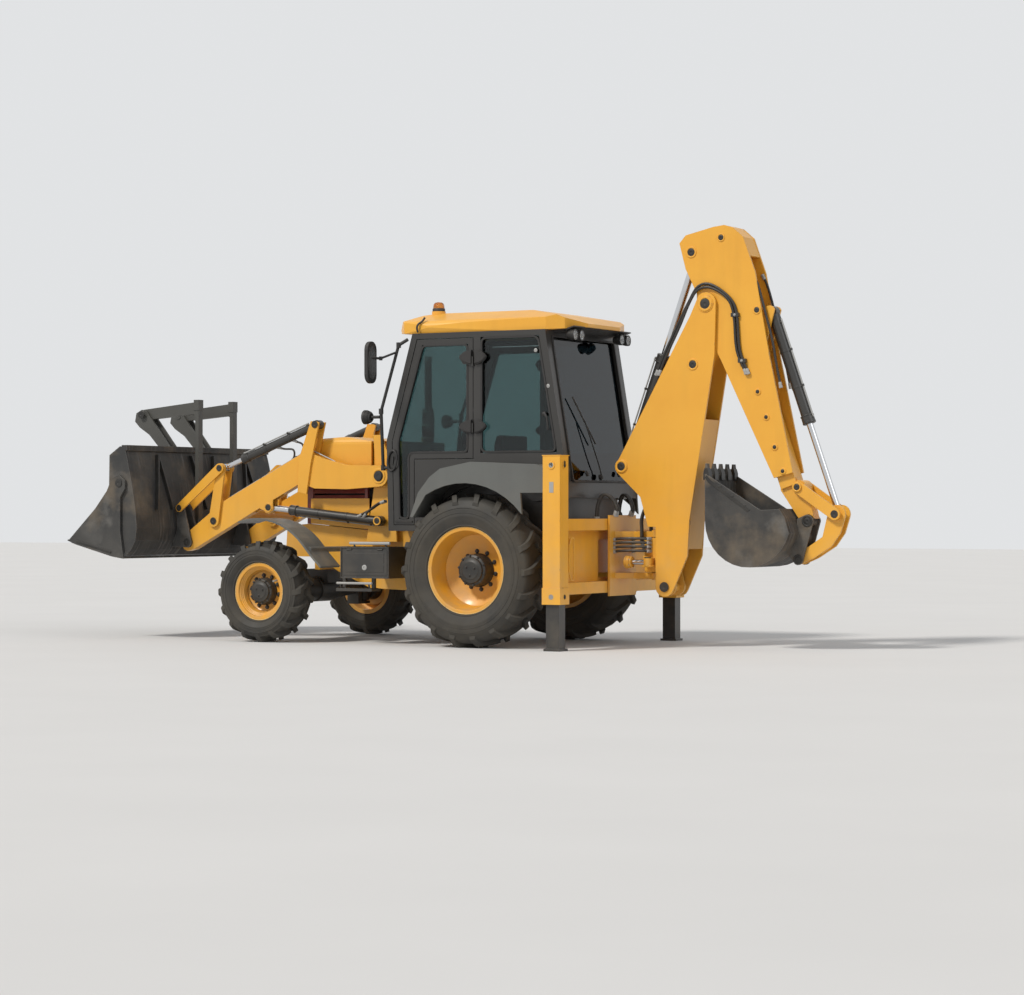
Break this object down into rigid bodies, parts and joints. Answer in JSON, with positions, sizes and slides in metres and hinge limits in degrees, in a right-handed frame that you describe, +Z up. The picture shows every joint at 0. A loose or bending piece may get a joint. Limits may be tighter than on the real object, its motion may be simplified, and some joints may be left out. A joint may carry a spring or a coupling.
{
  "type": "backhoe loader",
  "caption": "Backhoe loader with a clam shovel and folding pallet forks in front, a hollow cab, and a side-shift backhoe with an extending dipper behind.",
  "frame": {"origin": "on the ground, under the middle of the overall box, with the wheels on the ground", "axes": "+X forward, towards the loader shovel; +Y to the machine's left; +Z up"},
  "size_m": [7.291, 2.372, 3.612],
  "materials": {
    "yellow_paint": "satin",
    "black_paint": "satin",
    "maroon_paint": "satin",
    "bucket_black": "matte",
    "axle_black": "matte",
    "grey_moulding": "satin",
    "tyre": "matte",
    "glass": "gloss",
    "chrome": "polished",
    "seat_fabric": "matte",
    "black_plastic": "matte",
    "lamp": "gloss"
  },
  "bodies": {
    "root": {"chassis": "yellow_paint", "engine_block": "axle_black", "rear_axle": "axle_black", "front_axle": "axle_black", "grille": "black_paint", "louvres": "maroon_paint", "cab_frame": "black_paint", "cab_glass": "glass", "roof": "yellow_paint", "rear_fenders": "grey_moulding", "front_fenders": "grey_moulding", "seat": "seat_fabric", "controls": "black_plastic", "side_boxes": "grey_moulding", "rear_frame": "yellow_paint", "lamps": "lamp", "mirrors": "black_plastic", "exhaust": "black_paint"},
    "wheel_rear_left": {"rear_tyre_left": "tyre", "rear_rim_left": "yellow_paint"},
    "knuckle_left": {"knuckle_left": "axle_black"},
    "wheel_front_left": {"front_tyre_left": "tyre", "front_rim_left": "yellow_paint"},
    "door_left": {"door_left": "black_paint", "door_glass_left": "glass"},
    "leg_left": {"leg_left": "black_paint"},
    "wheel_rear_right": {"rear_tyre_right": "tyre", "rear_rim_right": "yellow_paint"},
    "knuckle_right": {"knuckle_right": "axle_black"},
    "wheel_front_right": {"front_tyre_right": "tyre", "front_rim_right": "yellow_paint"},
    "door_right": {"door_right": "black_paint", "door_glass_right": "glass"},
    "leg_right": {"leg_right": "black_paint"},
    "hood": {"hood": "yellow_paint"},
    "loader_arms": {"loader_arms": "yellow_paint"},
    "lift_barrels": {"lift_barrels": "black_paint"},
    "lift_rods": {"lift_rods": "chrome"},
    "tilt_levers": {"tilt_levers": "yellow_paint"},
    "tilt_links": {"tilt_links": "yellow_paint"},
    "tilt_barrels": {"tilt_barrels": "black_paint"},
    "tilt_rods": {"tilt_rods": "chrome"},
    "shovel": {"shovel": "bucket_black"},
    "clam": {"clam": "bucket_black"},
    "fork_links": {"fork_links": "bucket_black"},
    "forks": {"forks": "bucket_black"},
    "carriage": {"carriage": "yellow_paint"},
    "kingpost": {"kingpost": "yellow_paint"},
    "boom": {"boom": "yellow_paint"},
    "boom_barrel": {"boom_barrel": "black_paint"},
    "boom_rod": {"boom_rod": "chrome"},
    "dipper": {"dipper": "yellow_paint"},
    "dipper_barrel": {"dipper_barrel": "black_paint"},
    "dipper_rod": {"dipper_rod": "chrome"},
    "dipper_slide": {"dipper_slide": "yellow_paint"},
    "bucket_barrel": {"bucket_barrel": "black_paint"},
    "bucket_rod": {"bucket_rod": "chrome"},
    "bucket_levers": {"bucket_levers": "yellow_paint"},
    "bucket_link": {"bucket_link": "yellow_paint"},
    "bucket": {"bucket": "bucket_black"}
  },
  "joints": [
    {"name": "wheel_rear_left", "type": "hinge", "parent": "root", "child": "wheel_rear_left", "pos_m": [-0.5585, 0.885, 0.665], "axis": [0, 1, 0], "continuous": true},
    {"name": "wheel_rear_right", "type": "hinge", "parent": "root", "child": "wheel_rear_right", "pos_m": [-0.5585, -0.885, 0.665], "axis": [0, 1, 0], "continuous": true},
    {"name": "steer_left", "type": "hinge", "parent": "root", "child": "knuckle_left", "pos_m": [1.6115, 0.735, 0.455], "axis": [0, 0, 1], "range_deg": [-32, 32]},
    {"name": "steer_right", "type": "hinge", "parent": "root", "child": "knuckle_right", "pos_m": [1.6115, -0.735, 0.455], "axis": [0, 0, 1], "range_deg": [-32, 32]},
    {"name": "wheel_front_left", "type": "hinge", "parent": "knuckle_left", "child": "wheel_front_left", "pos_m": [1.6115, 0.9, 0.455], "axis": [0, 1, 0], "continuous": true},
    {"name": "wheel_front_right", "type": "hinge", "parent": "knuckle_right", "child": "wheel_front_right", "pos_m": [1.6115, -0.9, 0.455], "axis": [0, 1, 0], "continuous": true},
    {"name": "door_left", "type": "hinge", "parent": "root", "child": "door_left", "pos_m": [-0.4165, 0.692, 1.5], "axis": [0, 0, 1], "range_deg": [0, 90]},
    {"name": "door_right", "type": "hinge", "parent": "root", "child": "door_right", "pos_m": [-0.4165, -0.692, 1.5], "axis": [0, 0, -1], "range_deg": [0, 90]},
    {"name": "hood_hinge", "type": "hinge", "parent": "root", "child": "hood", "pos_m": [0.8135, 0, 1.806], "axis": [0, -1, 0], "range_deg": [0, 45]},
    {"name": "leg_left", "type": "slide", "parent": "root", "child": "leg_left", "axis": [0, 0, 1], "range_m": [-0.2, 0.33]},
    {"name": "leg_right", "type": "slide", "parent": "root", "child": "leg_right", "axis": [0, 0, 1], "range_m": [-0.2, 0.33]},
    {"name": "loader_lift", "type": "hinge", "parent": "root", "child": "loader_arms", "pos_m": [0.6545, 0, 1.489], "axis": [0, -1, 0], "range_deg": [-15, 73]},
    {"name": "lift_barrel", "type": "hinge", "parent": "root", "child": "lift_barrels", "pos_m": [0.6695, 0, 1.087], "axis": [0, -1, 0], "range_deg": [-13.55, 64.01]},
    {"name": "lift_rod", "type": "slide", "parent": "lift_barrels", "child": "lift_rods", "axis": [0.9948, 0, 0.1023], "range_m": [-0.0915, 0.4376]},
    {"name": "shovel_tilt", "type": "hinge", "parent": "loader_arms", "child": "shovel", "pos_m": [2.7415, 0, 0.885], "axis": [0, 1, 0], "range_deg": [-20, 100]},
    {"name": "tilt_lever", "type": "hinge", "parent": "loader_arms", "child": "tilt_levers", "pos_m": [2.4415, 0, 1.084], "axis": [0, 1, 0], "range_deg": [-15.66, 76.32]},
    {"name": "tilt_link", "type": "hinge", "parent": "tilt_levers", "child": "tilt_links", "pos_m": [2.3595, 0, 1.572], "axis": [0, 1, 0], "range_deg": [-43.36, 9.07]},
    {"name": "tilt_barrel", "type": "hinge", "parent": "loader_arms", "child": "tilt_barrels", "pos_m": [1.3245, 0, 1.961], "axis": [0, -1, 0], "range_deg": [-0.76, 1.82]},
    {"name": "tilt_rod", "type": "slide", "parent": "tilt_barrels", "child": "tilt_rods", "axis": [0.9361, 0, -0.3518], "range_m": [-0.1265, 0.6247]},
    {"name": "clam", "type": "hinge", "parent": "shovel", "child": "clam", "pos_m": [3.0535, 0, 1.433], "axis": [0, -1, 0], "range_deg": [0, 80]},
    {"name": "fork_link", "type": "hinge", "parent": "shovel", "child": "fork_links", "pos_m": [3.0815, 0, 1.69], "axis": [0, -1, 0], "range_deg": [-65, 0]},
    {"name": "fork_fold", "type": "hinge", "parent": "fork_links", "child": "forks", "pos_m": [3.4045, 0, 2.088], "axis": [0, -1, 0], "range_deg": [-193.55, 0.5]},
    {"name": "side_shift", "type": "slide", "parent": "root", "child": "carriage", "axis": [0, 1, 0], "range_m": [-0.5, 0.5]},
    {"name": "slew", "type": "hinge", "parent": "carriage", "child": "kingpost", "pos_m": [-1.8585, 0, 0.8], "axis": [0, 0, 1], "range_deg": [-90, 90]},
    {"name": "boom", "type": "hinge", "parent": "kingpost", "child": "boom", "pos_m": [-2.0125, 0, 0.523], "axis": [0, -1, 0], "range_deg": [0, 115]},
    {"name": "boom_barrel", "type": "hinge", "parent": "kingpost", "child": "boom_barrel", "pos_m": [-1.9735, 0, 0.8], "axis": [0, -1, 0], "range_deg": [-0.5, 122.4]},
    {"name": "boom_rod", "type": "slide", "parent": "boom_barrel", "child": "boom_rod", "axis": [-0.1863, 0, 0.9825], "range_m": [-0.002, 0.449]},
    {"name": "dipper", "type": "hinge", "parent": "boom", "child": "dipper", "pos_m": [-2.4005, 0, 2.945], "axis": [0, 1, 0], "range_deg": [0, 115]},
    {"name": "dipper_barrel", "type": "hinge", "parent": "boom", "child": "dipper_barrel", "pos_m": [-1.5975, 0, 1.563], "axis": [0, -1, 0], "range_deg": [-5.39, 0.5]},
    {"name": "dipper_rod", "type": "slide", "parent": "dipper_barrel", "child": "dipper_rod", "axis": [-0.3365, 0, 0.9417], "range_m": [-0.8222, 0.002]},
    {"name": "dipper_extend", "type": "slide", "parent": "dipper", "child": "dipper_slide", "axis": [-0.3256, 0, -0.9455], "range_m": [0, 1.2]},
    {"name": "bucket", "type": "hinge", "parent": "dipper_slide", "child": "bucket", "pos_m": [-3.3095, 0, 1.091], "axis": [0, 1, 0], "range_deg": [0, 150]},
    {"name": "bucket_lever", "type": "hinge", "parent": "dipper_slide", "child": "bucket_levers", "pos_m": [-3.2325, 0, 1.377], "axis": [0, 1, 0], "range_deg": [-0.5, 100.48]},
    {"name": "bucket_link", "type": "hinge", "parent": "bucket_levers", "child": "bucket_link", "pos_m": [-3.5665, 0, 1.15], "axis": [0, 1, 0], "range_deg": [-28.34, 0.5]},
    {"name": "bucket_barrel", "type": "hinge", "parent": "dipper_slide", "child": "bucket_barrel", "pos_m": [-2.9615, 0, 2.866], "axis": [0, -1, 0], "range_deg": [-6.35, 0.5]},
    {"name": "bucket_rod", "type": "slide", "parent": "bucket_barrel", "child": "bucket_rod", "axis": [-0.3325, 0, -0.9431], "range_m": [-0.6039, 0.002]}
  ],
  "couplings": [
    {"joint": "steer_right", "follows": "steer_left", "ratio": 1},
    {"joint": "lift_barrel", "follows": "loader_lift", "ratio": 0.87003},
    {"joint": "lift_rod", "follows": "loader_lift", "m_per_rad": 0.34191},
    {"joint": "tilt_lever", "follows": "shovel_tilt", "ratio": 0.75817},
    {"joint": "tilt_link", "follows": "shovel_tilt", "ratio": -0.42865},
    {"joint": "tilt_barrel", "follows": "shovel_tilt", "ratio": 0.01318},
    {"joint": "tilt_rod", "follows": "shovel_tilt", "m_per_rad": 0.35678},
    {"joint": "fork_fold", "follows": "fork_link", "ratio": 2.97},
    {"joint": "boom_barrel", "follows": "boom", "ratio": 1.06},
    {"joint": "boom_rod", "follows": "boom", "m_per_rad": 0.22272},
    {"joint": "dipper_barrel", "follows": "dipper", "ratio": -0.04255},
    {"joint": "dipper_rod", "follows": "dipper", "m_per_rad": -0.40863},
    {"joint": "bucket_lever", "follows": "bucket", "ratio": 0.6665},
    {"joint": "bucket_link", "follows": "bucket", "ratio": -0.18561},
    {"joint": "bucket_barrel", "follows": "bucket", "ratio": -0.03897},
    {"joint": "bucket_rod", "follows": "bucket", "m_per_rad": -0.2299}
  ]
}
